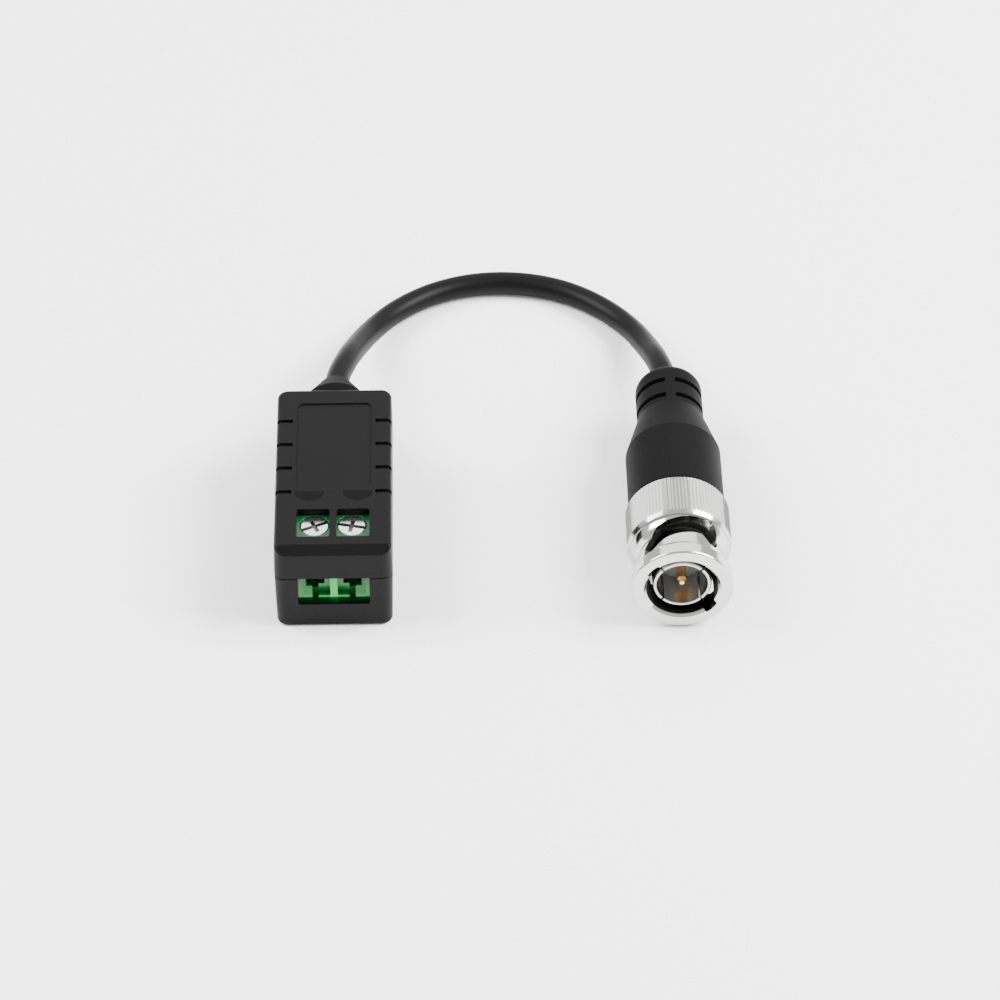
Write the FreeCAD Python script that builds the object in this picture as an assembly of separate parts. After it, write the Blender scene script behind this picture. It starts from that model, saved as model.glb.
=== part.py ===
import FreeCAD
import Part
import math
import os

from FreeCAD import Vector

# Frame: millimetres, +Z up, origin at the bottom centre of the housing.
# Wires enter the housing from -Y, the cable leaves it towards +Y,
# and the plug lies beside it on the +X side with its mouth towards -Y.

# Housing, outside
housing_length = 33.4
housing_width = 16.2
housing_height = 14.4
cover_height = 5.4
draft_deg = 1.0
corner_radius = 1.5
foot_edge_radius = 0.6
top_edge_radius = 0.7
front_bevel = 1.1
seam_chamfer = 0.1

# Housing, walls and joint of the two shells
wall = 1.3
roof_thickness = 1.1
front_wall_at_block = 0.55
lip_height = 1.1
lip_thickness = 0.7
shell_clearance = 0.08
snap_length = 3.2
snap_height = 0.5
snap_depth = 0.3
snap_offset = 7.0

# Marks and recesses on the cover
label_length = 17.8
label_rear_margin = 3.25
label_side_margin = 0.55
label_depth = 0.2
label_corner_radius = 0.8
thumb_radius = 2.05
thumb_centre_x = 3.3
thumb_gap = 0.4
thumb_depth = 0.7
groove_count = 4
groove_pitch = 4.87
groove_width = 0.7
groove_depth = 0.4
groove_reach = 2.35
groove_foot_gap = 1.4
groove_rear_margin = 7.0

# Openings for screwdriver and wires
screw_window_ahead = 3.45
screw_window_behind = 2.05
screw_window_bar = 0.9
screw_window_margin = 0.08
wire_window_margin = 0.18
wire_window_height = 4.8
window_corner_radius = 0.3

# Circuit board
board_foot = 1.9
board_thickness = 1.0
board_side_gap = 0.8
board_front_gap = 0.4
board_rear_gap = 3.0
post_radius = 0.9
post_inset = 1.6
pin_radius = 0.45
pin_clearance = 0.1

# Terminal block, heights of its front are measured down from the parting plane
pole_pitch = 5.08
block_clearance = 0.05
block_top_gap = 0.1
block_front_chamfer = 1.0
block_rear_wall = 0.4
toe_depth = 0.7
toe_drop = 3.9
wire_entry_width = 2.5
wire_entry_drop = 2.2
wire_entry_height = 2.3
funnel_depth = 0.5
funnel_lip = 0.35
barrier_width = 1.0
cheek_width = 0.65
pocket_depth = 0.95
key_slot_width = 0.85
key_slot_depth = 1.6
key_slot_lift = 0.5
cage_well_wall = 1.15
cage_well_width = 4.0
cage_well_gap = 0.68

# Terminal screws, rising cages and fixed contacts
screw_setback = 5.6
screw_head_radius = 2.0
screw_head_height = 1.0
screw_head_recess = 0.1
screw_head_chamfer = 0.2
screw_slot_width = 0.6
screw_slot_depth = 0.6
screw_cross_length = 2.4
screw_shank_radius = 1.25
screw_running_clearance = 0.06
screw_seat = 0.3
screw_turns_deg = (24.0, -12.0)
cage_travel = 1.7
cage_width = 3.7
cage_depth = 3.8
cage_side = 0.4
cage_jaw = 0.5
cage_roof = 0.8
cage_clearance = 0.12
contact_thickness = 0.4
contact_width = 2.6
solder_pin_width = 1.0
solder_pin_reach = 0.4
solder_pin_gap = 0.15

# Transformer and small parts on the board
core_radius = 4.0
core_hole_radius = 2.0
core_height = 3.2
core_gap = 1.2
core_lift = 0.45
core_chamfer = 0.3
winding_turns = 10
winding_wire_radius = 0.2
winding_arc_deg = 300.0
diode_length = 4.3
diode_width = 2.6
diode_height = 2.1
diode_gap = 0.5
diode_bevel = 0.2
tab_thickness = 0.25
chip_length = 2.0
chip_width = 1.25
chip_height = 0.5
chip_x = 3.0
chip_gap = 0.4
chip_rear_margin = 0.6

# Cable and gland
cable_radius = 1.7
cable_stub = 0.62
gland_flange_radius = 3.6
gland_flange_thickness = 1.2
gland_neck_radius = 2.6
gland_collar_radius = 4.8
gland_collar_length = 1.8
gland_edge_radius = 0.3
gland_cone_length = 4.6
gland_nose_radius = 2.2
lead_radius = 0.4
lead_spacing = 1.6
lead_straight = 1.2

# Heights and depths that the cable shares with the housing
parting_height = housing_height - cover_height
gland_z = parting_height
gland_flange_rear = housing_length / 2 - wall - shell_clearance
gland_flange_front = gland_flange_rear - gland_flange_thickness
cable_start_y = gland_flange_front - cable_stub

# Route of the cable's middle line, from inside the housing to inside the boot
cable_route = [
    (0.0, cable_start_y, gland_z),
    (0.0, 19.2, gland_z),
    (0.0, 25.0, 8.75),
    (1.4, 30.8, 7.6),
    (2.9, 36.6, 5.3),
    (4.9, 42.6, 3.1),
    (8.5, 48.2, 2.1),
    (13.9, 52.5, 1.8),
    (20.4, 54.8, 1.7),
    (27.4, 54.8, 1.7),
    (34.0, 52.6, 1.7),
    (39.5, 48.3, 1.8),
    (43.2, 42.9, 2.5),
    (45.2, 36.9, 4.1),
    (46.5, 31.0, 6.3),
    (47.5, 24.8, 7.2),
    (47.5, 18.4, 7.25),
    (47.5, 12.0, 7.25),
]
arc_share = 0.45

# Plug, depths are measured back from the front rim of the coupling nut
plug_x = 47.5
plug_front_y = -17.8
nut_grip_radius = 7.25
plug_z = nut_grip_radius

# Coupling nut
nut_length = 15.2
nut_bore_radius = 4.95
mouth_chamfer = 0.35
rim_radius = 6.95
rim_edge_radius = 0.3
rim_thickness = 1.9
waist_radius = 5.85
waist_start = 3.4
waist_end = 5.9
flank_hollow = 0.21
shoulder_radius = 6.85
shoulder_end = 7.5
shoulder_bulge = 0.2
relief_radius = 6.6
relief_width = 0.5
grip_start = 8.7
grip_chamfer = 0.35
knurl_count = 90
knurl_depth = 0.2
nut_cavity_radius = 6.2
nut_cavity_start = 8.6
nut_travel = 0.8

# Bayonet slots, as angle seen from the front and depth behind the rim
lug_slot_width = 2.2
lug_track_radius = 5.55
cam_points = [
    (140.0, 4.2),
    (128.0, 4.95),
    (116.0, 5.6),
    (101.0, 6.0),
    (86.0, 6.3),
    (71.0, 6.55),
    (57.0, 6.65),
    (44.0, 5.3),
]
cam_slot_angles = (0.0, 180.0)

# Plug body and what it holds
sleeve_radius = 4.05
sleeve_wall = 0.5
sleeve_front = 1.0
sleeve_lead = 0.17
sleeve_root_start = 7.3
sleeve_root_radius = 4.25
sleeve_rear = 8.6
sleeve_slot_count = 4
sleeve_slot_width = 0.35
sleeve_slot_depth = 4.6
sleeve_slot_turn_deg = 45.0
fit_clearance = 0.02
flange_front = 8.7
flange_thickness = 1.2
flange_radius = 5.9
barrel_radius = 4.3
barrel_end = 24.0
stem_radius = 2.3
stem_end = 29.0
stem_bore_radius = 1.2
insulator_face = 6.2
insulator_disc_end = 7.2
insulator_radius = 2.35
insulator_end = 15.0
pin_tip = 1.3
centre_pin_radius = 0.675
pin_tip_flat_radius = 0.3
pin_tip_length = 0.6
pin_collar_radius = 1.05
pin_collar_start = 5.95
gasket_thickness = 1.1
gasket_outer_radius = 4.7
spring_height = 2.05
spring_thickness = 0.25
spring_waves = 3
spring_stations = 24
washer_inner_radius = 4.6
washer_outer_radius = 6.1
washer_thickness = 0.5
ring_thickness = 0.7
ring_inner_radius = 5.2
ring_outer_radius = 6.5
ring_groove_radius = 6.6
ring_gap_deg = 36.0
running_gap = 0.06

# Crimp ferrule and moulded boot
ferrule_wall = 0.35
ferrule_start = 24.3
ferrule_end = 31.5
boot_front_gap = 0.3
boot_radius = 6.7
boot_front_edge = 0.3
boot_cylinder_end = 26.8
boot_tail_start = 33.9
boot_tail_radius = 4.75
boot_tail_end = 40.2
boot_end = 42.3
boot_end_radius = 3.0
boot_end_bulge = 0.55
boot_groove_radius = 4.05
boot_groove_width = 0.9
boot_groove_starts = (34.7, 37.9)
rib_width = 1.4


# Shared ways of making a shape
origin = Vector(0, 0, 0)
up = Vector(0, 0, 1)
rearwards = Vector(0, 1, 0)
full_turn_deg = 360
quarter_rise = 1 - math.sqrt(0.5)
tolerance = 1e-4
overcut = 5.0
mitred = 1


def box(width, length, height, x=0.0, y=0.0, z=0.0):
    """Box centred on x and y, standing on z."""
    return Part.makeBox(width, length, height, Vector(x - width / 2, y - length / 2, z))


def about(centre, width):
    return centre - width / 2, centre + width / 2


def span_box(x_ends, y_ends, z_ends):
    """Box between the two ends given along each axis, the lower one first."""
    sizes = [ends[1] - ends[0] for ends in (x_ends, y_ends, z_ends)]
    return Part.makeBox(*sizes, Vector(x_ends[0], y_ends[0], z_ends[0]))


def rounded_box(width, length, height, radius, x=0.0, y=0.0, z=0.0):
    """Box centred on x and y, standing on z, with rounded upright edges."""
    solid = box(width, length, height, x, y, z)
    return solid.makeFillet(radius, upright_edges(solid))


def upright_edges(solid):
    edges = []
    for edge in solid.Edges:
        span = edge.BoundBox
        if span.ZLength > 2 * max(span.XLength, span.YLength):
            edges.append(edge)
    return edges


def drafted_block(half_x, half_y, z_full, z_small, slope):
    """Block at its full size at z_full, drawn in by slope towards z_small."""
    shrink = abs(z_small - z_full) * slope
    halves = {z_full: (half_x, half_y), z_small: (half_x - shrink, half_y - shrink)}
    low, high = sorted(halves)
    low_x, low_y = halves[low]
    high_x, high_y = halves[high]
    wedge = Part.makeWedge(-low_x, low, -low_y, -high_y, -high_x, low_x, high, low_y, high_y, high_x)
    wedge.rotate(origin, Vector(1, 0, 0), 90)
    return wedge


def face_through(points):
    return Part.Face(Part.makePolygon(points + [points[0]]))


def turned(outline):
    """Solid of revolution about the plug axis, from (radius, depth) points.

    An entry with two points is an arc through the first to the second.
    """
    edges = []
    here = outline[0]
    for step in outline[1:] + [outline[0]]:
        if isinstance(step[0], tuple):
            middle, end = step
            edges.append(Part.Arc(flat(here), flat(middle), flat(end)).toShape())
            here = end
        else:
            edges.append(Part.LineSegment(flat(here), flat(step)).toShape())
            here = step
    profile = Part.Face(Part.Wire(edges))
    return profile.revolve(origin, rearwards, full_turn_deg)


def arc_between(start, end, bulge):
    """Middle and end of an arc that rises by bulge over its chord, away from the axis where positive."""
    run = (end[0] - start[0], end[1] - start[1])
    share = bulge / math.hypot(*run)
    middle = ((start[0] + end[0]) / 2 + run[1] * share, (start[1] + end[1]) / 2 - run[0] * share)
    return middle, end


def flat(point):
    return Vector(point[0], point[1], 0)


def ring(inner, outer, start, end):
    """Ring about the plug axis, or a plain disc where inner is 0."""
    return turned([(inner, start), (outer, start), (outer, end), (inner, end)])


def on_plug(shape):
    """Moves a shape from the plug's own axis to its place beside the housing."""
    placed = shape.copy()
    placed.translate(Vector(plug_x, plug_front_y, plug_z))
    return placed


def on_gland(shape):
    placed = shape.copy()
    placed.translate(Vector(0, 0, gland_z))
    return placed


def radial(angle_deg):
    angle = math.radians(angle_deg)
    return Vector(math.cos(angle), 0, math.sin(angle))


# Derived sizes of the housing
draft_slope = math.tan(math.radians(draft_deg))
half_width = housing_width / 2
half_length = housing_length / 2
front_y = -half_length
cavity_top = housing_height - roof_thickness
groove_inner_x = half_width - groove_reach
label_width = 2 * (groove_inner_x - label_side_margin)
label_centre_y = half_length - label_rear_margin - label_length / 2
wire_window_foot = parting_height - wire_window_height

# Derived sizes of the board and of the terminal, from the front to the rear
board_top = board_foot + board_thickness
board_width = housing_width - 2 * (wall + board_side_gap)
board_front_y = front_y + wall + board_front_gap
board_rear_y = half_length - wall - board_rear_gap
block_front_y = front_y + front_wall_at_block + block_clearance
well_front_y = block_front_y + cage_well_wall
screw_y = block_front_y + screw_setback
cage_rear_y = screw_y + cage_depth / 2
well_rear_y = cage_rear_y + cage_clearance
leg_front_y = well_rear_y + solder_pin_gap
leg_rear_y = leg_front_y + contact_thickness
block_rear_y = leg_rear_y + block_rear_wall
block_width = 2 * pole_pitch
pole_x = (-pole_pitch / 2, pole_pitch / 2)

# Derived heights of the terminal
block_top = cavity_top - block_top_gap
head_top = block_top - screw_head_recess
head_foot = head_top - screw_head_height
seat_top = head_foot - fit_clearance
seat_foot = seat_top - screw_seat
cage_roof_top = seat_foot - cage_clearance - cage_travel
cage_roof_foot = cage_roof_top - cage_roof
contact_top = cage_roof_foot - cage_clearance
contact_foot = contact_top - contact_thickness
wire_entry_foot = parting_height - wire_entry_drop
cage_jaw_top = wire_entry_foot - cage_clearance
cage_foot = cage_jaw_top - cage_jaw
well_foot = cage_foot - cage_well_gap
toe_top = parting_height - toe_drop
mouth_foot = toe_top + funnel_lip

# Derived places of the small parts on the board
diode_y = block_rear_y + diode_gap + diode_width / 2
core_y = diode_y + diode_width / 2 + core_gap + core_radius
chip_y = core_y + core_radius + chip_gap + chip_length / 2
rear_chip_y = board_rear_y - chip_rear_margin - chip_width / 2


def housing_half(z_small):
    """One closed half of the housing, from the parting plane to z_small, with its edges broken."""
    block = drafted_block(half_width, half_length, parting_height, z_small, draft_slope)
    block = block.makeFillet(corner_radius, upright_edges(block))
    return block.makeChamfer(seam_chamfer, edges_at_height(block, parting_height))


def edges_at_height(solid, z):
    edges = []
    for edge in solid.Edges:
        span = edge.BoundBox
        if abs(span.ZMin - z) < tolerance and abs(span.ZMax - z) < tolerance:
            edges.append(edge)
    return edges


def cavity_half(z_small):
    return drafted_block(half_width - wall, half_length - wall, parting_height, z_small, draft_slope)


def block_outline(extra):
    """The terminal block's outside, its upper front edge taken off; extra makes the room round it."""
    half = block_width / 2 + extra
    front = block_front_y - extra
    rear = block_rear_y + extra
    top = block_top + extra
    points = [
        Vector(-half, front, board_top),
        Vector(-half, front, top - block_front_chamfer),
        Vector(-half, front + block_front_chamfer, top),
        Vector(-half, rear, top),
        Vector(-half, rear, board_top),
    ]
    return face_through(points).extrude(Vector(2 * half, 0, 0))


def block_pocket():
    """Room for the terminal block, let into the front wall so that the block lies just behind the face."""
    return block_outline(block_clearance)


def gland_hole():
    """Round hole through the back wall, half in each shell."""
    length = wall + 2 * overcut
    start = Vector(0, half_length - wall - overcut, gland_z)
    return Part.makeCylinder(gland_neck_radius + fit_clearance, length, start, rearwards)


def wire_window():
    width = block_width - 2 * wire_window_margin
    window = span_box(about(0, width), about(front_y, 2 * wall), (wire_window_foot, parting_height))
    foot = [e for e in edges_at_height(window, wire_window_foot) if e.BoundBox.YLength > wall]
    return window.makeFillet(window_corner_radius, foot)


def post_places():
    places = []
    for sx in (-1, 1):
        for y in (block_rear_y + post_inset, board_rear_y - post_inset):
            places.append((sx * (board_width / 2 - post_inset), y))
    return places


def board_posts():
    """Posts that carry the board, each with a locating pin through it."""
    posts = []
    for x, y in post_places():
        post = Part.makeCylinder(post_radius, board_foot - wall, Vector(x, y, wall))
        pin = Part.makeCylinder(pin_radius, board_top - wall, Vector(x, y, wall))
        posts.append(post.fuse(pin))
    return posts


def front_ledge():
    """Step inside the front wall that the board's front edge lies on."""
    length = board_front_gap + wall
    return box(board_width / 2, length, board_foot - wall, y=front_y + wall + length / 2, z=wall)


def snap_places():
    return [(side, y) for side in (-1, 1) for y in (-snap_offset, snap_offset)]


def snap_beads(extra):
    """Beads on the outside of the cover's lip; extra makes the recess that they snap into."""
    beads = []
    lip_face = half_width - wall - shell_clearance
    centre_z = parting_height - lip_height / 2
    for side, y in snap_places():
        half = snap_height / 2 + extra
        reach = snap_depth + extra
        points = [
            Vector(side * (lip_face - lip_thickness / 2), 0, centre_z - half),
            Vector(side * lip_face, 0, centre_z - half),
            Vector(side * (lip_face + reach), 0, centre_z),
            Vector(side * lip_face, 0, centre_z + half),
            Vector(side * (lip_face - lip_thickness / 2), 0, centre_z + half),
        ]
        length = snap_length + 2 * extra
        bead = face_through(points).extrude(Vector(0, length, 0))
        bead.translate(Vector(0, y - length / 2, 0))
        beads.append(bead)
    return beads


def make_bottom_shell():
    shell = housing_half(0.0)
    shell = shell.makeFillet(foot_edge_radius, edges_at_height(shell, 0.0))
    shell = shell.cut(cavity_half(wall))
    shell = shell.fuse(board_posts() + [front_ledge()])
    shell = shell.cut([block_pocket(), gland_hole(), wire_window()] + snap_beads(shell_clearance))
    return shell.removeSplitter()


def cover_lip():
    """Lip that drops inside the bottom shell, open at the window and at the gland."""
    outer_x = half_width - wall - shell_clearance
    outer_y = half_length - wall - shell_clearance
    foot = parting_height - lip_height
    root = 2 * (shell_clearance + lip_thickness / 2)
    lip = box(2 * outer_x, 2 * outer_y, lip_height, z=foot)
    lip = lip.fuse(box(2 * outer_x + root, 2 * outer_y + root, wall, z=parting_height))
    inner_x = outer_x - lip_thickness
    inner_y = outer_y - lip_thickness
    lip = lip.cut(box(2 * inner_x, 2 * inner_y, lip_height + wall, z=foot))
    front_gap = span_box(
        about(0, block_width + 2 * lip_thickness),
        (front_y, screw_y),
        (foot, parting_height),
    )
    rear_gap = span_box(
        about(0, 2 * (gland_flange_radius + shell_clearance)),
        (board_rear_y, half_length),
        (foot, parting_height + wall),
    )
    return lip.cut([front_gap, rear_gap])


def label_recess():
    """Sunk field for a label."""
    return rounded_box(
        label_width, label_length, 2 * label_depth, label_corner_radius,
        y=label_centre_y, z=housing_height - label_depth,
    )


def thumb_dips():
    """Two half-round dips ahead of the label, level at their straight rear and deepest at the front arc."""
    straight_y = label_centre_y - label_length / 2 - thumb_gap
    slope = thumb_depth / thumb_radius
    reach = thumb_radius + overcut
    dips = []
    for side in (-1, 1):
        x = side * thumb_centre_x
        points = [
            Vector(x - reach, straight_y, housing_height),
            Vector(x - reach, straight_y - reach, housing_height - slope * reach),
            Vector(x - reach, straight_y - reach, housing_height + overcut),
            Vector(x - reach, straight_y, housing_height + overcut),
        ]
        wedge = face_through(points).extrude(Vector(2 * reach, 0, 0))
        foot = Vector(x, straight_y, housing_height - slope * reach)
        round_tool = Part.makeCylinder(thumb_radius, slope * reach + overcut, foot)
        dips.append(wedge.common(round_tool))
    return dips


def finger_grooves():
    """Grooves that run over the long top edges and down the sides of the cover."""
    inner = drafted_block(
        half_width - groove_depth,
        half_length,
        parting_height,
        housing_height - groove_depth,
        draft_slope,
    )
    grooves = []
    foot = parting_height + groove_foot_gap
    for i in range(groove_count):
        y = half_length - groove_rear_margin - i * groove_pitch
        for side in (-1, 1):
            x_ends = sorted((side * groove_inner_x, side * (half_width + overcut)))
            slab = span_box(x_ends, about(y, groove_width), (foot, housing_height + overcut))
            grooves.append(slab.cut(inner))
    return grooves


def screw_windows():
    """Openings in the cover over the two screws, with a bar between them."""
    width = (block_width - 2 * screw_window_margin - screw_window_bar) / 2
    length = screw_window_ahead + screw_window_behind
    centre_y = screw_y + (screw_window_behind - screw_window_ahead) / 2
    windows = []
    for side in (-1, 1):
        x = side * (screw_window_bar + width) / 2
        windows.append(
            rounded_box(
                width, length, 2 * overcut, window_corner_radius,
                x=x, y=centre_y, z=cavity_top - roof_thickness,
            )
        )
    return windows


def make_top_cover():
    cover = housing_half(housing_height)
    cover = cover.makeFillet(top_edge_radius, edges_at_height(cover, housing_height))
    cover = cover.cut(front_bevel_tool())
    cover = cover.cut(cavity_half(cavity_top))
    cover = cover.fuse(cover_lip())
    cover = cover.fuse(snap_beads(0.0))
    cover = cover.cut([block_pocket(), gland_hole(), gland_flange_room()])
    cover = cover.cut([label_recess()] + thumb_dips() + finger_grooves() + screw_windows())
    return cover.removeSplitter()


def front_bevel_tool():
    """Wedge that takes the front top edge off at 45 degrees."""
    top = housing_height
    edge_y = front_y + cover_height * draft_slope
    points = [
        Vector(-half_width, edge_y - front_bevel, top + front_bevel),
        Vector(-half_width, edge_y + 2 * front_bevel, top + front_bevel),
        Vector(-half_width, edge_y - front_bevel, top - 2 * front_bevel),
    ]
    return face_through(points).extrude(Vector(housing_width, 0, 0))


def gland_flange_room():
    """Round room for the gland's flange behind the wall."""
    length = gland_flange_thickness + 2 * shell_clearance
    start = Vector(0, half_length - wall - length, gland_z)
    return Part.makeCylinder(gland_flange_radius + shell_clearance, length, start, rearwards)


def make_circuit_board():
    length = board_rear_y - board_front_y
    board = box(board_width, length, board_thickness, y=board_front_y + length / 2, z=board_foot)
    holes = []
    hole_radius = pin_radius + pin_clearance
    for x, y in post_places():
        holes.append(Part.makeCylinder(hole_radius, board_thickness, Vector(x, y, board_foot)))
    for x in pole_x:
        x_ends = about(x, solder_pin_width + 2 * pin_clearance)
        y_ends = (leg_front_y - pin_clearance, leg_rear_y + pin_clearance)
        holes.append(span_box(x_ends, y_ends, (board_foot, board_top)))
    return board.cut(holes)


# Terminal
def make_terminal_block():
    toe = span_box(about(0, block_width), (block_front_y, block_front_y + toe_depth), (board_top, toe_top))
    tools = [toe]
    for x in pole_x:
        tools.extend(pole_openings(x))
    return block_outline(0.0).cut(tools).removeSplitter()


def pole_openings(x):
    """What is open in one pole: cage well, screw seat, wire entry, key slot and room for the contact."""
    side = math.copysign(1, x)
    entry_top = wire_entry_foot + wire_entry_height
    pocket_ends = sorted((side * barrier_width / 2, x))
    contact_room = about(x, contact_width + 2 * block_clearance)
    room_rear = leg_rear_y + block_clearance
    room_top = contact_top + block_clearance
    boxes = [
        span_box(about(x, cage_well_width), (well_front_y, well_rear_y), (well_foot, seat_foot)),
        span_box(about(x, wire_entry_width), (block_front_y, screw_y), (wire_entry_foot, entry_top)),
        span_box(
            about(x, key_slot_width),
            (block_front_y, block_front_y + key_slot_depth),
            (board_top + key_slot_lift, wire_entry_foot),
        ),
        span_box(pocket_ends, (block_front_y, block_front_y + pocket_depth), (mouth_foot, entry_top)),
        span_box(contact_room, (screw_y, room_rear), (contact_foot - block_clearance, room_top)),
        span_box(contact_room, (leg_front_y - block_clearance, room_rear), (board_top, room_top)),
    ]
    head_hole = Part.makeCylinder(
        screw_head_radius + screw_running_clearance, block_top, Vector(x, screw_y, seat_top)
    )
    shank_hole = Part.makeCylinder(
        screw_shank_radius + screw_running_clearance, block_top, Vector(x, screw_y, seat_foot - screw_seat)
    )
    return boxes + [head_hole, shank_hole, entry_funnel(x, entry_top)]


def entry_funnel(x, high_z):
    """Sloped mouth that leads a wire into the entry, between the middle barrier and the block's cheek."""
    side = math.copysign(1, x)
    mouth_ends = (side * barrier_width / 2, side * (block_width / 2 - cheek_width))
    mouth = upright_rectangle(mouth_ends, (mouth_foot, high_z), block_front_y)
    throat_ends = (x - side * wire_entry_width / 2, x + side * wire_entry_width / 2)
    throat = upright_rectangle(throat_ends, (wire_entry_foot, high_z), block_front_y + funnel_depth)
    return Part.makeLoft([mouth, throat], True, True)


def upright_rectangle(x_ends, z_ends, y):
    corners = [
        Vector(x_ends[0], y, z_ends[0]),
        Vector(x_ends[1], y, z_ends[0]),
        Vector(x_ends[1], y, z_ends[1]),
        Vector(x_ends[0], y, z_ends[1]),
    ]
    return Part.makePolygon(corners + [corners[0]])


def make_terminal_screw(x, slot_turn_deg):
    """Screw with a slot and a shorter cross slot, whose shank pulls the cage up."""
    head = Part.makeCylinder(screw_head_radius, screw_head_height, Vector(0, 0, head_foot))
    head = head.makeChamfer(screw_head_chamfer, edges_at_height(head, head_top))
    shank_foot = contact_top + cage_clearance / 2
    shank = Part.makeCylinder(screw_shank_radius, head_foot - shank_foot, Vector(0, 0, shank_foot))
    slot_foot = head_top - screw_slot_depth
    slot = box(2 * overcut, screw_slot_width, 2 * screw_slot_depth, z=slot_foot)
    cross = box(screw_slot_width, screw_cross_length, 2 * screw_slot_depth, z=slot_foot)
    screw = head.fuse(shank).cut([slot, cross]).removeSplitter()
    screw.rotate(origin, up, slot_turn_deg)
    screw.translate(Vector(x, screw_y, 0))
    return screw


def make_wire_clamp(x):
    """Rectangular cage with a threaded roof; the wire lies on its lower jaw."""
    depth = about(screw_y, cage_depth)
    cage = span_box(about(x, cage_width), depth, (cage_foot, cage_roof_top))
    opening = span_box(about(x, cage_width - 2 * cage_side), depth, (cage_jaw_top, cage_roof_foot))
    thread = Part.makeCylinder(
        screw_shank_radius + screw_running_clearance, cage_roof, Vector(x, screw_y, cage_roof_foot)
    )
    return cage.cut([opening, thread])


def make_contact(x):
    """Flat strip through the cage, bent down at the back into the solder pin."""
    strip_front = screw_y - cage_depth / 2
    leg_ends = (leg_front_y, leg_rear_y)
    pin_foot = board_foot - solder_pin_reach
    strip = span_box(about(x, contact_width), (strip_front, leg_rear_y), (contact_foot, contact_top))
    leg = span_box(about(x, contact_width), leg_ends, (board_top, contact_top))
    pin = span_box(about(x, solder_pin_width), leg_ends, (pin_foot, board_top))
    return strip.fuse([leg, pin]).removeSplitter()


# Parts on the board
def make_ferrite_core():
    centre = Vector(0, core_y, board_top + core_lift)
    core = Part.makeCylinder(core_radius, core_height, centre)
    hole = Part.makeCylinder(core_hole_radius, core_height, centre)
    core = core.cut(hole)
    rims = edges_at_height(core, centre.z) + edges_at_height(core, centre.z + core_height)
    return core.makeChamfer(core_chamfer, rims)


def make_core_winding():
    """Separate turns of wire round the section of the core."""
    gap = winding_wire_radius + fit_clearance
    inner, outer = core_hole_radius - gap, core_radius + gap
    low = board_top + core_lift - gap
    high = board_top + core_lift + core_height + gap
    corners = [Vector(outer, 0, low), Vector(outer, 0, high), Vector(inner, 0, high), Vector(inner, 0, low)]
    turn = mitred_wire(corners + [corners[0]], winding_wire_radius)
    turns = []
    for i in range(winding_turns):
        loop = turn.copy()
        angle = winding_arc_deg * (i / (winding_turns - 1) - 0.5)
        loop.rotate(origin, up, angle - 90)
        loop.translate(Vector(0, core_y, 0))
        turns.append(loop)
    return Part.makeCompound(turns)


def mitred_wire(points, radius):
    """Round wire bent sharply at its corners; a closed one begins halfway along its first side."""
    if points[0] == points[-1]:
        start = (points[0] + points[1]) / 2
        points = [start] + points[1:] + [start]
    section = Part.Wire(Part.makeCircle(radius, points[0], points[1] - points[0]))
    return Part.makePolygon(points).makePipeShell([section], True, False, mitred)


def rounded_path(points, setback_for):
    """Straight runs joined by tangent arcs; setback_for gives how far from a corner its arc starts."""
    edges = []
    here = points[0]
    for i in range(1, len(points) - 1):
        corner = points[i]
        back = points[i - 1] - corner
        ahead = points[i + 1] - corner
        setback = setback_for(min(back.Length, ahead.Length))
        back.normalize()
        ahead.normalize()
        half_opening = back.getAngle(ahead) / 2
        inward = (back + ahead).normalize()
        radius = setback * math.tan(half_opening)
        middle = corner + inward * (setback / math.cos(half_opening) - radius)
        start, end = corner + back * setback, corner + ahead * setback
        edges.append(Part.LineSegment(here, start).toShape())
        edges.append(Part.Arc(start, middle, end).toShape())
        here = end
    edges.append(Part.LineSegment(here, points[-1]).toShape())
    return Part.Wire(edges)


def swept_round(path, radius):
    first = path.Edges[0]
    direction = first.tangentAt(first.FirstParameter)
    section = Part.Wire(Part.makeCircle(radius, first.Vertexes[0].Point, direction))
    return path.makePipeShell([section], True, False)


def make_surge_diode():
    body = box(diode_length, diode_width, diode_height, y=diode_y, z=board_top + tab_thickness)
    body = body.makeChamfer(diode_bevel, edges_at_height(body, board_top + tab_thickness + diode_height))
    tabs = []
    tab_width = diode_width / 2
    for side in (-1, 1):
        end_x = side * diode_length / 2
        upright_x = end_x + side * tab_thickness / 2
        foot = box(2 * tab_thickness, tab_width, tab_thickness, end_x, diode_y, board_top)
        upright = box(tab_thickness, tab_width, diode_height / 2, upright_x, diode_y, board_top)
        tabs.extend([foot, upright])
    return body.fuse(tabs).removeSplitter()


def make_chip_parts():
    """Two chips beside the core's rear and one across the rear of the board."""
    chips = [box(chip_width, chip_length, chip_height, side * chip_x, chip_y, board_top) for side in (-1, 1)]
    chips.append(box(chip_length, chip_width, chip_height, 0, rear_chip_y, board_top))
    return Part.makeCompound(chips)


def make_cable_leads():
    """Inner conductor and twisted screen, bent down from the cable's end to the board."""
    drop = gland_z - board_top
    leads = []
    for side in (-1, 1):
        x = side * lead_spacing / 2
        points = [
            Vector(x, cable_start_y, gland_z),
            Vector(x, cable_start_y - lead_straight, gland_z),
            Vector(x, cable_start_y - lead_straight - drop / 2, gland_z - drop / 2),
            Vector(x, cable_start_y - lead_straight - drop / 2, board_top),
        ]
        leads.append(mitred_wire(points, lead_radius))
    return Part.makeCompound(leads)


# Cable, gland and boot
def make_cable():
    points = [Vector(*p) for p in cable_route]
    path = rounded_path(points, lambda shorter_run: arc_share * shorter_run)
    return swept_round(path, cable_radius)


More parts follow.
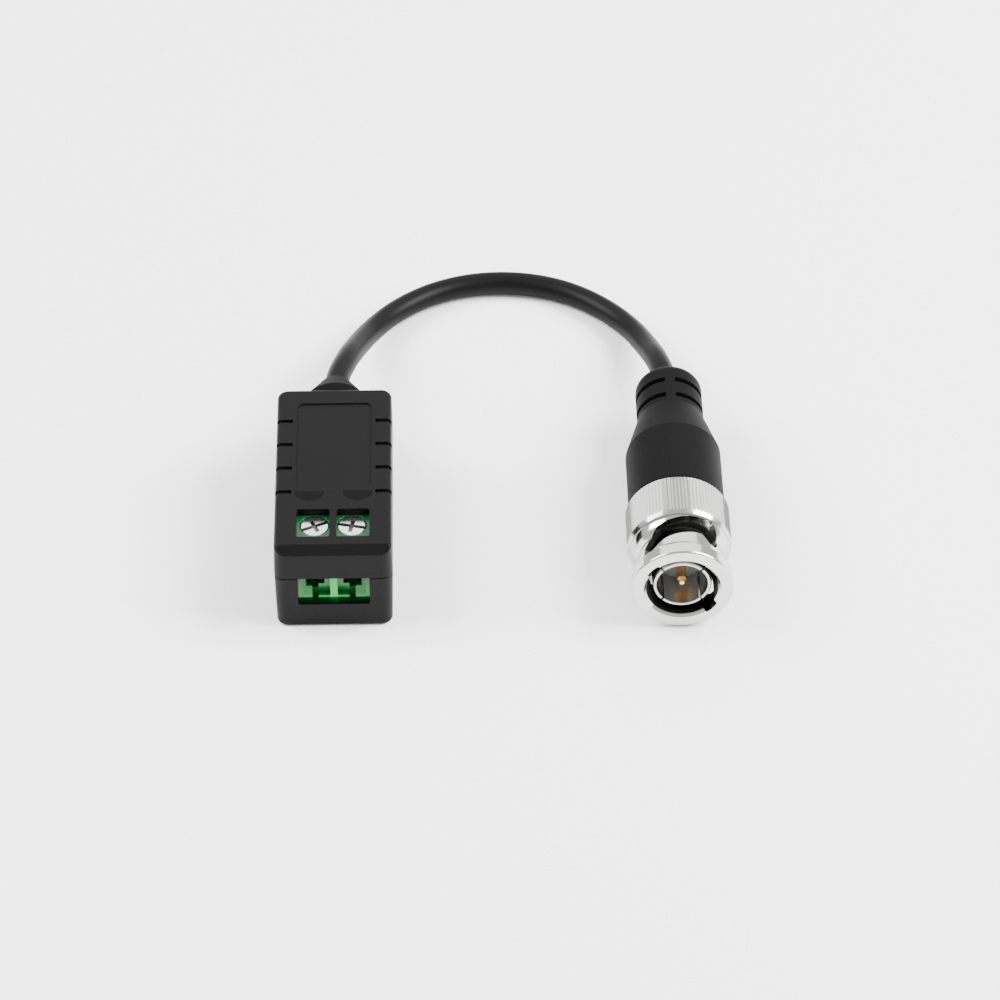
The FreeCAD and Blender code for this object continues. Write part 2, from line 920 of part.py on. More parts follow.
def report_cable(cable):
    """Prints the tube's bend radii and compares its volume with its length."""
    points = [Vector(*p) for p in cable_route]
    path = rounded_path(points, lambda shorter_run: arc_share * shorter_run)
    radii = [e.Curve.Radius for e in path.Edges if isinstance(e.Curve, Part.Circle)]
    print("cable radii", [round(r, 1) for r in radii])
    print("cable length", round(path.Length, 2), "lowest", round(cable.BoundBox.ZMin, 3))
    print("cable volume share", round(cable.Volume / (math.pi * cable_radius ** 2 * path.Length), 4))


def make_cable_gland(cable):
    """Moulded strain relief: a flange inside the wall, a neck through it and a cone outside."""
    collar_front = half_length + shell_clearance
    collar_rear = collar_front + gland_collar_length
    cone_end = collar_rear + gland_cone_length
    collar_edge = (gland_collar_radius - gland_edge_radius, collar_front)
    collar_side = (gland_collar_radius, collar_front + gland_edge_radius)
    body = turned(
        [
            (0, gland_flange_front),
            (gland_flange_radius, gland_flange_front),
            (gland_flange_radius, gland_flange_rear),
            (gland_neck_radius, gland_flange_rear),
            (gland_neck_radius, collar_front),
            collar_edge,
            arc_between(collar_edge, collar_side, gland_edge_radius * quarter_rise),
            (gland_collar_radius, collar_rear),
            (gland_nose_radius, cone_end),
            (0, cone_end),
        ]
    )
    return on_gland(body).cut(cable)


def broken_grooves(inner, outer, width, starts):
    """Ring grooves that stop at a rib along the top and one along the bottom."""
    rib = box(rib_width, 2 * (max(starts) + width), 2 * (outer + overcut), z=-outer - overcut)
    return [ring(inner, outer + overcut, start, start + width).cut(rib) for start in starts]


def make_plug_boot(cable):
    """Boot moulded over the plug's barrel, the ferrule and the cable."""
    front = nut_length + boot_front_gap
    tail_end = (boot_tail_radius, boot_tail_end)
    body = turned(
        [
            (0, front),
            (boot_radius - boot_front_edge, front),
            (boot_radius, front + boot_front_edge),
            (boot_radius, boot_cylinder_end),
            (boot_tail_radius, boot_tail_start),
            tail_end,
            arc_between(tail_end, (boot_end_radius, boot_end), boot_end_bulge),
            (0, boot_end),
        ]
    )
    grooves = broken_grooves(boot_groove_radius, boot_tail_radius, boot_groove_width, boot_groove_starts)
    barrel_room = ring(0, barrel_radius + fit_clearance, 0, barrel_end + fit_clearance)
    ferrule_room = ring(0, ferrule_outer_radius + fit_clearance, 0, ferrule_end + fit_clearance)
    body = body.cut(grooves + [barrel_room, ferrule_room])
    return on_plug(body).cut(cable)


# Plug
ferrule_outer_radius = stem_radius + fit_clearance + ferrule_wall


def make_crimp_ferrule():
    bore = stem_radius + fit_clearance
    neck = cable_radius + fit_clearance
    body = turned(
        [
            (bore, ferrule_start),
            (ferrule_outer_radius, ferrule_start),
            (ferrule_outer_radius, ferrule_end - ferrule_wall),
            (neck + ferrule_wall, ferrule_end),
            (neck, ferrule_end),
            (neck, ferrule_end - 2 * ferrule_wall),
            (bore, ferrule_end - 2 * ferrule_wall),
        ]
    )
    return on_plug(body)


def make_plug_body():
    """Turned body: hub for the sleeve, flange inside the nut, barrel and crimp stem."""
    hub = sleeve_radius - sleeve_wall - fit_clearance
    bore = insulator_radius + fit_clearance
    hub_front = insulator_disc_end + fit_clearance
    return on_plug(
        turned(
            [
                (bore, hub_front),
                (hub, hub_front),
                (hub, flange_front),
                (flange_radius, flange_front),
                (flange_radius, flange_front + flange_thickness),
                (barrel_radius, flange_front + flange_thickness),
                (barrel_radius, barrel_end),
                (stem_radius, barrel_end),
                (stem_radius, stem_end),
                (stem_bore_radius, stem_end),
                (stem_bore_radius, insulator_end + fit_clearance),
                (bore, insulator_end + fit_clearance),
            ]
        )
    )


def make_outer_contact():
    """Springy sleeve that enters the mating shell, split into fingers."""
    inner = sleeve_radius - sleeve_wall
    sleeve = turned(
        [
            (inner, sleeve_front),
            (sleeve_radius - sleeve_lead, sleeve_front),
            (sleeve_radius, sleeve_front + sleeve_lead),
            (sleeve_radius, sleeve_root_start),
            (sleeve_root_radius, sleeve_root_start),
            (sleeve_root_radius, sleeve_rear),
            (inner, sleeve_rear),
        ]
    )
    slots = []
    depth_ends = (sleeve_front, sleeve_front + sleeve_slot_depth)
    for i in range(sleeve_slot_count):
        slot = span_box((0, 2 * sleeve_radius), depth_ends, about(0, sleeve_slot_width))
        turn = sleeve_slot_turn_deg + full_turn_deg * i / sleeve_slot_count
        slot.rotate(origin, rearwards, -turn)
        slots.append(slot)
    return on_plug(sleeve.cut(slots))


def make_insulator():
    disc = sleeve_radius - sleeve_wall - fit_clearance
    bore = pin_collar_radius + fit_clearance
    return on_plug(
        turned(
            [
                (bore, insulator_face),
                (disc, insulator_face),
                (disc, insulator_disc_end),
                (insulator_radius, insulator_disc_end),
                (insulator_radius, insulator_end),
                (bore, insulator_end),
            ]
        )
    )


def make_centre_pin():
    return on_plug(
        turned(
            [
                (0, pin_tip),
                (pin_tip_flat_radius, pin_tip),
                (centre_pin_radius, pin_tip + pin_tip_length),
                (centre_pin_radius, pin_collar_start),
                (pin_collar_radius, pin_collar_start),
                (pin_collar_radius, insulator_end),
                (0, insulator_end),
            ]
        )
    )


def make_cable_core():
    """The cable's stripped inner insulation, from the cable's end through the stem to the pin."""
    cable_end = cable_route[-1][1] - plug_front_y
    return on_plug(
        ring(0, stem_bore_radius - fit_clearance, insulator_end + fit_clearance, cable_end - fit_clearance)
    )


def make_gasket_ring():
    inner = sleeve_root_radius + fit_clearance
    rear = flange_front - fit_clearance
    return on_plug(ring(inner, gasket_outer_radius, rear - gasket_thickness, rear))


def make_spring_washer():
    """Waved ring between the body's flange and the slip washer."""
    start = flange_front + flange_thickness + fit_clearance
    swing = (spring_height - spring_thickness - 2 * fit_clearance) / 2
    sections = []
    for i in range(spring_stations):
        angle = 2 * math.pi * i / spring_stations
        depth = start + swing * (1 - math.cos(spring_waves * angle))
        out = radial(math.degrees(angle))
        front = rearwards * depth
        rear = rearwards * (depth + spring_thickness)
        inner = out * washer_inner_radius
        outer = out * flange_radius
        corners = [inner + front, outer + front, outer + rear, inner + rear]
        sections.append(Part.makePolygon(corners + [corners[0]]))
    return on_plug(Part.makeLoft(sections, True, True, True))


spring_end = flange_front + flange_thickness + spring_height
retaining_ring_start = spring_end + washer_thickness + fit_clearance


def make_slip_washer():
    return on_plug(ring(washer_inner_radius, washer_outer_radius, spring_end, spring_end + washer_thickness))


def make_retaining_ring():
    """Split ring that sits in the groove inside the coupling nut."""
    end = retaining_ring_start + ring_thickness
    body = ring(ring_inner_radius, ring_outer_radius, retaining_ring_start, end)
    half_gap = math.radians(ring_gap_deg / 2)
    reach = 2 * ring_outer_radius
    corners = [
        Vector(0, 0, 0),
        Vector(reach * math.sin(half_gap), 0, reach * math.cos(half_gap)),
        Vector(-reach * math.sin(half_gap), 0, reach * math.cos(half_gap)),
    ]
    wedge = face_through(corners).extrude(Vector(0, 2 * nut_length, 0))
    return on_plug(body.cut(wedge))


# Coupling nut
def nut_outline():
    """Outline of the nut without its knurl, from the mouth round the outside and back through the bore."""
    groove_start = retaining_ring_start - running_gap
    groove_end = retaining_ring_start + ring_thickness + running_gap
    rim_front = (rim_radius - rim_edge_radius, 0)
    rim_side = (rim_radius, rim_edge_radius)
    rim_rear = (rim_radius, rim_thickness)
    waist_front = (waist_radius, waist_start)
    waist_rear = (waist_radius, waist_end)
    shoulder = (shoulder_radius, shoulder_end)
    return [
        (nut_bore_radius + mouth_chamfer, 0),
        rim_front,
        arc_between(rim_front, rim_side, rim_edge_radius * quarter_rise),
        rim_rear,
        arc_between(rim_rear, waist_front, -flank_hollow),
        waist_rear,
        arc_between(waist_rear, shoulder, shoulder_bulge),
        (relief_radius, shoulder_end + (shoulder_radius - relief_radius)),
        (relief_radius, shoulder_end + relief_width),
        (shoulder_radius, shoulder_end + relief_width),
        (nut_grip_radius, grip_start),
        (nut_grip_radius, nut_length - grip_chamfer),
        (nut_grip_radius - grip_chamfer, nut_length),
        (nut_cavity_radius, nut_length),
        (nut_cavity_radius, groove_end),
        (ring_groove_radius, groove_end),
        (ring_groove_radius, groove_start),
        (nut_cavity_radius, groove_start),
        (nut_cavity_radius, nut_cavity_start),
        (nut_bore_radius, nut_cavity_start),
        (nut_bore_radius, mouth_chamfer),
    ]


def knurl_cutter():
    """Star-shaped tube that leaves sharp straight teeth on the grip."""
    points = []
    step = math.pi / knurl_count
    for i in range(2 * knurl_count):
        radius = nut_grip_radius if i % 2 == 0 else nut_grip_radius - knurl_depth
        angle = i * step
        points.append(Vector(radius * math.cos(angle), grip_start - knurl_depth, radius * math.sin(angle)))
    star = face_through(points).extrude(Vector(0, nut_length, 0))
    outer = ring(0, nut_grip_radius + knurl_depth, grip_start - knurl_depth, nut_length + knurl_depth)
    return outer.cut(star)


def lug_track(turn):
    """Way for one lug of the mating shell: a groove in from the mouth, then a cam slot through the wall."""
    radius = lug_slot_width / 2
    reach = nut_grip_radius
    pieces = []
    entry_angle, entry_depth = cam_points[0]
    entry = span_box((0, lug_track_radius), (0, entry_depth), about(0, lug_slot_width))
    entry = entry.common(ring(0, lug_track_radius, 0, entry_depth))
    entry.rotate(origin, rearwards, -(entry_angle + turn))
    pieces.append(entry)
    for angle, depth in cam_points:
        out = radial(angle + turn)
        pieces.append(Part.makeCylinder(radius, reach, Vector(0, depth, 0), out))
    for (angle, depth), (next_angle, next_depth) in zip(cam_points, cam_points[1:]):
        pieces.append(cam_link(angle + turn, depth, next_angle + turn, next_depth))
    return pieces


def cam_link(angle, depth, next_angle, next_depth):
    """Straight stretch of the slot between two stations on the waist."""
    out = radial((angle + next_angle) / 2)
    start = radial(angle) * waist_radius + Vector(0, depth, 0)
    end = radial(next_angle) * waist_radius + Vector(0, next_depth, 0)
    along = end - start
    along = along - out * along.dot(out)
    across = out.cross(along).normalize() * (lug_slot_width / 2)
    middle = (start + end) / 2
    middle = middle - out * middle.dot(out)
    near = middle - along / 2
    far = middle + along / 2
    corners = [near - across, far - across, far + across, near + across]
    return face_through(corners).extrude(out * nut_grip_radius)


def make_coupling_nut():
    nut = turned(nut_outline())
    nut = nut.cut(knurl_cutter())
    keep_in_front = ring(0, 2 * nut_grip_radius, -mouth_chamfer, shoulder_end)
    tracks = []
    for turn in cam_slot_angles:
        track = lug_track(turn)
        tracks.append(track[0].multiFuse(track[1:]).common(keep_in_front))
    return on_plug(nut.cut(tracks))


def write(name, shape):
    if not shape.isValid():
        print("not valid", name)
    shape.exportStep(os.path.join("parts", name + ".step"))


def main():
    os.makedirs("parts", exist_ok=True)
    cable = make_cable()
    report_cable(cable)
    parts = {
        "bottom_shell": make_bottom_shell(),
        "top_cover": make_top_cover(),
        "circuit_board": make_circuit_board(),
        "terminal_block": make_terminal_block(),
        "ferrite_core": make_ferrite_core(),
        "core_winding": make_core_winding(),
        "surge_diode": make_surge_diode(),
        "chip_parts": make_chip_parts(),
        "cable_leads": make_cable_leads(),
        "cable_gland": make_cable_gland(cable),
        "cable": cable,
        "plug_boot": make_plug_boot(cable),
        "crimp_ferrule": make_crimp_ferrule(),
        "plug_body": make_plug_body(),
        "outer_contact": make_outer_contact(),
        "insulator": make_insulator(),
        "centre_pin": make_centre_pin(),
        "cable_core": make_cable_core(),
        "gasket_ring": make_gasket_ring(),
        "spring_washer": make_spring_washer(),
        "slip_washer": make_slip_washer(),
        "retaining_ring": make_retaining_ring(),
        "coupling_nut": make_coupling_nut(),
    }
    for side, x, slot_turn_deg in zip(("left", "right"), pole_x, screw_turns_deg):
        parts["terminal_screw_" + side] = make_terminal_screw(x, slot_turn_deg)
        parts["wire_clamp_" + side] = make_wire_clamp(x)
        parts["contact_" + side] = make_contact(x)
    for name, shape in parts.items():
        write(name, shape)


main()
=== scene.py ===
import math

import bpy
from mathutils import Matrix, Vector


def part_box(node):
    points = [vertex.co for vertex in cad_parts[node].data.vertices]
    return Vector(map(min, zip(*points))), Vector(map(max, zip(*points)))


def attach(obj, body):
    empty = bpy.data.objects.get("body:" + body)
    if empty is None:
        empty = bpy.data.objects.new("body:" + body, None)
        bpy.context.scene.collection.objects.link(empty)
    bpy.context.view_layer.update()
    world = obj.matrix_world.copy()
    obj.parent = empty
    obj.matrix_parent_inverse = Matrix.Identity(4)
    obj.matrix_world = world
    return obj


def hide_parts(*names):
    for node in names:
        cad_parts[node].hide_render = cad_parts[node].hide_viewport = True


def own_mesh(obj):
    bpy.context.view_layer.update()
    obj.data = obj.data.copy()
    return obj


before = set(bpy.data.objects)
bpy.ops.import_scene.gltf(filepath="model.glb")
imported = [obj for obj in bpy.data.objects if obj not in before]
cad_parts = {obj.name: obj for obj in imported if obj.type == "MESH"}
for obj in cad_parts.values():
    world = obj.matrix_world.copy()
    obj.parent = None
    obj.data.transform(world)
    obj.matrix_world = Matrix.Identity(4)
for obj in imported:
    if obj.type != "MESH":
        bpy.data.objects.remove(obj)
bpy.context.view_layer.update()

# Lengths are in metres. The housing stands at the origin with its wire entries towards -Y,
# its cable leaves towards +Y, and the plug lies on the +X side with its mouth towards -Y.
MM = 0.001

# Camera
CAMERA_PLACE = (14.54 * MM, -441.52 * MM, 412.11 * MM)
CAMERA_TARGET = (22.99 * MM, 0.99 * MM, 7.0 * MM)
CAMERA_LENS = 154.95
SENSOR_WIDTH = 36.0

# Cable. The points of its route are in millimetres, and are the control points of its spline
CABLE_RADIUS = 1.7 * MM
CABLE_ROUTE = (
    (0.0, 13.5, 9.0),
    (0.0, 19.2, 9.0),
    (0.0, 25.0, 8.75),
    (1.4, 30.8, 7.6),
    (2.9, 36.6, 5.3),
    (4.9, 42.6, 3.1),
    (8.5, 48.2, 2.1),
    (13.9, 52.5, 1.8),
    (20.4, 54.8, 1.7),
    (27.4, 54.8, 1.7),
    (34.0, 52.6, 1.7),
    (39.5, 48.3, 1.8),
    (43.2, 42.9, 2.5),
    (45.2, 36.9, 4.1),
    (46.5, 31.0, 6.3),
    (47.5, 24.8, 7.2),
    (47.5, 18.4, 7.25),
    (47.5, 12.0, 7.25),
)

# Plug axis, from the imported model
pin_low, pin_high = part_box("centre_pin")
PLUG_X = (pin_low.x + pin_high.x) / 2
PLUG_Z = (pin_low.z + pin_high.z) / 2
PLUG_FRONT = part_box("coupling_nut")[0].y

# Height of the seam between the shells, which is the top of the wire window
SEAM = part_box("bottom_shell")[1].z

# Top of the screw heads
SCREW_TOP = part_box("terminal_screw_left")[1].z


# Materials
BLACK = (0.0031, 0.0031, 0.0032)
SOFT_BLACK = (0.0048, 0.0048, 0.0049)
# Painted shade for the slots of the screws
SLOT_SHADE = (0.16, 0.155, 0.145)
# Painted shade inside the nut and on the sleeve behind the rim
PAINTED_SHADE_GREY = (0.045, 0.044, 0.042)
# Painted shade high on the terminal block, and a painted highlight on its middle rib
PAINTED_SHADE_GREEN = (0.004, 0.05, 0.013)
RIB_HIGHLIGHT_GREEN = (0.012, 0.3, 0.05)

# Rounding of edges in the shading: rays for each point, and how well the rounded normal agrees
# with the true one at an edge and away from it
EDGE_SAMPLES = 6
EDGE_AGREEMENT = (0.7, 0.98)

# Lengths over which a mask fades
MASK_FADE = 0.1 * MM
SLOT_FADE = 0.15 * MM

# Lengths that set the lathe rings and the glass weave. The lines of a Wave texture stand 0.314
# times such a length apart
RING_RUN = 1.8 * MM
WEAVE_RUN = 1.2 * MM

# Terminal block: half the width of its middle rib, how far above the seam the rib's painted
# highlight ends, and how far below the seam the painted shade on the rest begins and is darkest
RIB_HALF = 0.5 * MM
RIB_FADE = 0.3 * MM
SHADE_FOOT = 2.6 * MM
SHADE_TOP = 0.6 * MM

# Size and depth of the grain of the housing, of the soft mouldings and of the cable
HOUSING_GRAIN = (0.14 * MM, 0.006 * MM)
SOFT_GRAIN = (0.2 * MM, 0.004 * MM)
SHEATH_GRAIN = (0.25 * MM, 0.003 * MM)

# Where the metal gets painted shade and a rougher surface, inside the nut and on the sleeve:
# two radii round the plug's axis and a depth behind its rim
NUT_INSIDE = (0.0, 5.75 * MM, 0.3 * MM)
SLEEVE_OUTSIDE = (3.8 * MM, 6.0 * MM, 1.25 * MM)

# Height below which the screws get painted shade, as in their slots, and a rougher surface
SLOT_TOP = SCREW_TOP - 0.12 * MM


class Finish:
    """A material being wired up, with short ways to add its nodes."""

    def __init__(self, name):
        self.material = bpy.data.materials.new(name)
        self.material.use_nodes = True
        self.tree = self.material.node_tree
        self.surface = self.tree.nodes["Principled BSDF"]
        self.place = self.node("ShaderNodeTexCoord").outputs["Object"]

    def node(self, kind, **settings):
        node = self.tree.nodes.new(kind)
        for key, value in settings.items():
            setattr(node, key, value)
        return node

    def link(self, source, target):
        self.tree.links.new(source, target)

    def set(self, **values):
        """Values for the shader's sockets, by name with _ for a blank."""
        for key, value in values.items():
            self.surface.inputs[key.replace("_", " ")].default_value = value

    def from_plug_front(self):
        """Object coordinates measured from the middle of the plug's front rim."""
        moved = self.node("ShaderNodeMapping", vector_type="POINT")
        moved.inputs["Location"].default_value = (-PLUG_X, -PLUG_FRONT, -PLUG_Z)
        self.link(self.place, moved.inputs["Vector"])
        return moved.outputs["Vector"]

    def noise(self, size, detail=3.0):
        """Cloudy pattern whose patches are about size across."""
        node = self.node("ShaderNodeTexNoise")
        node.inputs["Scale"].default_value = 1 / size
        node.inputs["Detail"].default_value = detail
        self.link(self.place, node.inputs["Vector"])
        return node.outputs["Fac"]

    def cells(self, size):
        """Rounded cells of about the given size, dark in their middles."""
        node = self.node("ShaderNodeTexVoronoi", feature="SMOOTH_F1")
        node.inputs["Scale"].default_value = 1 / size
        self.link(self.place, node.inputs["Vector"])
        return node.outputs["Distance"]

    def spread(self, value, low, high, from_low=0.0, from_high=1.0):
        """value stretched to the range low to high."""
        node = self.node("ShaderNodeMapRange")
        node.inputs["From Min"].default_value = from_low
        node.inputs["From Max"].default_value = from_high
        node.inputs["To Min"].default_value = low
        node.inputs["To Max"].default_value = high
        self.link(value, node.inputs["Value"])
        return node.outputs["Result"]

    def blend(self, share, first, second):
        """Colour between two, each a colour or the output of another node."""
        node = self.node("ShaderNodeMix", data_type="RGBA")
        self.link(share, node.inputs["Factor"])
        self.give(node.inputs["A"], first)
        self.give(node.inputs["B"], second)
        return node.outputs["Result"]

    def reckon(self, operation, first, second=0.0):
        """What an operation of the Math node makes of one or two values."""
        node = self.node("ShaderNodeMath", operation=operation)
        self.give(node.inputs[0], first)
        self.give(node.inputs[1], second)
        return node.outputs["Value"]

    def sum(self, first, second):
        return self.reckon("ADD", first, second)

    def product(self, first, second):
        return self.reckon("MULTIPLY", first, second)

    def split(self, vector):
        """The three coordinates of a vector."""
        apart = self.node("ShaderNodeSeparateXYZ")
        self.link(vector, apart.inputs["Vector"])
        return apart.outputs["X"], apart.outputs["Y"], apart.outputs["Z"]

    def give(self, socket, value):
        if isinstance(value, bpy.types.NodeSocket):
            self.link(value, socket)
        elif isinstance(value, tuple):
            socket.default_value = (*value, 1.0)
        else:
            socket.default_value = value

    def colour(self, value):
        self.give(self.surface.inputs["Base Color"], value)

    def roughness(self, value):
        self.give(self.surface.inputs["Roughness"], value)

    def soft_edges(self, radius):
        """Rounds sharp edges off in the shading and gives back how near a point is to one."""
        rounded = self.node("ShaderNodeBevel", samples=EDGE_SAMPLES)
        rounded.inputs["Radius"].default_value = radius
        self.link(rounded.outputs["Normal"], self.surface.inputs["Normal"])
        true = self.node("ShaderNodeNewGeometry").outputs["True Normal"]
        agree = self.node("ShaderNodeVectorMath", operation="DOT_PRODUCT")
        self.link(rounded.outputs["Normal"], agree.inputs[0])
        self.link(true, agree.inputs[1])
        low, high = EDGE_AGREEMENT
        return self.spread(agree.outputs["Value"], 1.0, 0.0, from_low=low, from_high=high)

    def between(self, inner, outer, depth):
        """1 between two radii round the plug's axis and past depth behind its rim, else 0."""
        across, along, height = self.split(self.from_plug_front())
        square = self.sum(self.reckon("POWER", across, 2.0), self.reckon("POWER", height, 2.0))
        radius = self.reckon("POWER", square, 0.5)
        inside = self.spread(radius, 1.0, 0.0, from_low=outer - MASK_FADE, from_high=outer)
        outside = self.spread(radius, 0.0, 1.0, from_low=inner - MASK_FADE, from_high=inner)
        deep = self.spread(along, 0.0, 1.0, from_low=depth, from_high=depth + MASK_FADE)
        return self.product(self.product(inside, outside), deep)

    def bump(self, height, depth):
        """Relief of the given real depth; several add up."""
        node = self.node("ShaderNodeBump")
        node.inputs["Strength"].default_value = 1.0
        node.inputs["Distance"].default_value = depth
        self.link(height, node.inputs["Height"])
        before = self.surface.inputs["Normal"].links
        if before:
            self.link(before[0].from_socket, node.inputs["Normal"])
        self.link(node.outputs["Normal"], self.surface.inputs["Normal"])


def moulded_black(name, tone, rough, grain, shine=0.08):
    """Black moulded plastic with the fine grain of its mould, lighter at its edges from rubbing
    and from a painted highlight. grain gives the size and depth of that grain."""
    size, depth = grain
    f = Finish(name)
    f.set(Specular_IOR_Level=shine)
    edges = f.soft_edges(0.12 * MM)
    patches = f.noise(9 * MM, detail=4.0)
    grains = f.cells(size)
    fine = f.noise(size / 2, detail=2.0)
    lighter = tuple(1.6 * c for c in tone)
    rubbed_and_lit = tuple(2.6 * c for c in tone)
    clouded = f.blend(f.product(patches, grains), tone, lighter)
    # The lighter edges are partly rubbing and partly a painted highlight
    wear_and_highlight = f.product(edges, f.spread(f.noise(1.3 * MM), 0.2, 1.0))
    f.colour(f.blend(wear_and_highlight, clouded, rubbed_and_lit))
    f.roughness(f.sum(f.spread(patches, rough - 0.05, rough + 0.05), f.spread(fine, -0.04, 0.04)))
    f.bump(grains, depth)
    f.bump(fine, depth / 3)
    return f.material


def green_moulding():
    """Glossy green nylon of the terminal block, a little cloudy in its colour. Its middle rib has
    a painted highlight, and the rest has painted shade that is darker the higher it lies."""
    f = Finish("terminal_green")
    patches = f.noise(2.5 * MM)
    f.soft_edges(0.08 * MM)
    across, _, height = f.split(f.place)
    distance = f.reckon("ABSOLUTE", across)
    # Painted highlight on the middle rib, below the seam
    aside = f.spread(distance, 0.0, 1.0, from_low=RIB_HALF, from_high=RIB_HALF + MASK_FADE)
    above = f.spread(height, 0.0, 1.0, from_low=SEAM, from_high=SEAM + RIB_FADE)
    # Painted shade, darker the higher it lies, as under the edge of the window
    foot, top = SEAM - SHADE_FOOT, SEAM - SHADE_TOP
    high = f.spread(height, 0.0, 1.0, from_low=foot, from_high=top)
    clouded = f.blend(patches, (0.003, 0.115, 0.015), (0.005, 0.15, 0.023))
    shaded = f.blend(high, clouded, PAINTED_SHADE_GREEN)
    f.colour(f.blend(f.reckon("MAXIMUM", aside, above), RIB_HIGHLIGHT_GREEN, shaded))
    f.roughness(f.spread(patches, 0.2, 0.32))
    f.set(Specular_IOR_Level=0.36)
    f.bump(f.noise(0.12 * MM, detail=2.0), 0.004 * MM)
    return f.material


def plated(name, tone, second, rough, sunk=None):
    """Plated metal with slight clouding and the marks of its press. What lies lower than the
    height sunk, such as the floor of a slot, is darkened by painted shade and made rougher."""
    f = Finish(name)
    f.set(Metallic=1.0)
    clouds = f.noise(2.2 * MM, detail=4.0)
    shade = f.blend(clouds, tone, second)
    marks = f.noise(0.05 * MM)
    worn = f.sum(f.spread(clouds, rough - 0.03, rough + 0.04), f.spread(marks, -0.05, 0.05))
    # Painted shade below the height sunk, where the surface is also rougher
    if sunk is not None:
        _, _, height = f.split(f.place)
        low = f.spread(height, 1.0, 0.0, from_low=sunk - SLOT_FADE, from_high=sunk)
        shade = f.blend(low, shade, SLOT_SHADE)
        worn = f.sum(worn, f.spread(low, 0.0, 0.25))
    f.colour(shade)
    f.roughness(worn)
    f.bump(marks, 0.0012 * MM)
    return f.material


def turned_metal(name, tone, second, rough, dull=None):
    """Metal turned on a lathe, with fine rings round the plug's axis. Where a zone is given as two
    radii and a depth behind the rim, what lies within it is darkened by painted shade and made
    rougher."""
    f = Finish(name)
    f.set(Metallic=1.0)
    clouds = f.noise(2.0 * MM, detail=4.0)
    shade = f.blend(clouds, tone, second)
    worn = f.spread(clouds, rough - 0.03, rough + 0.05)
    # Painted shade within the given zone, which is also rougher
    if dull:
        inside = f.between(*dull)
        shade = f.blend(inside, shade, PAINTED_SHADE_GREY)
        worn = f.sum(worn, f.spread(inside, 0.0, 0.25))
    f.colour(shade)
    rings = f.node("ShaderNodeTexWave", wave_type="RINGS", rings_direction="Z")
    rings.inputs["Scale"].default_value = 1 / RING_RUN
    rings.inputs["Distortion"].default_value = 0.6
    rings.inputs["Detail"].default_value = 2.0
    upright = f.node("ShaderNodeMapping", vector_type="POINT")
    upright.inputs["Rotation"].default_value = (math.radians(90), 0, 0)
    f.link(f.from_plug_front(), upright.inputs["Vector"])
    f.link(upright.outputs["Vector"], rings.inputs["Vector"])
    f.roughness(f.sum(worn, f.spread(rings.outputs["Fac"], -0.03, 0.03)))
    f.bump(rings.outputs["Fac"], 0.0015 * MM)
    return f.material


def board_laminate():
    """Solder mask over a woven glass board."""
    f = Finish("board_green")
    weave = f.node("ShaderNodeTexWave", wave_type="BANDS", bands_direction="X")
    weave.inputs["Scale"].default_value = 1 / WEAVE_RUN
    f.link(f.place, weave.inputs["Vector"])
    f.colour(f.blend(weave.outputs["Fac"], (0.01, 0.12, 0.04), (0.015, 0.16, 0.06)))
    f.roughness(f.spread(f.noise(1.5 * MM), 0.25, 0.4))
    f.bump(weave.outputs["Fac"], 0.004 * MM)
    return f.material


def plain_moulded(name, tone, second, rough):
    """Natural or coloured plastic, rubber or ceramic with a light grain."""
    f = Finish(name)
    patches = f.noise(3 * MM, detail=4.0)
    f.colour(f.blend(patches, tone, second))
    f.roughness(f.spread(patches, rough - 0.06, rough + 0.06))
    f.bump(f.noise(0.15 * MM), 0.003 * MM)
    return f.material


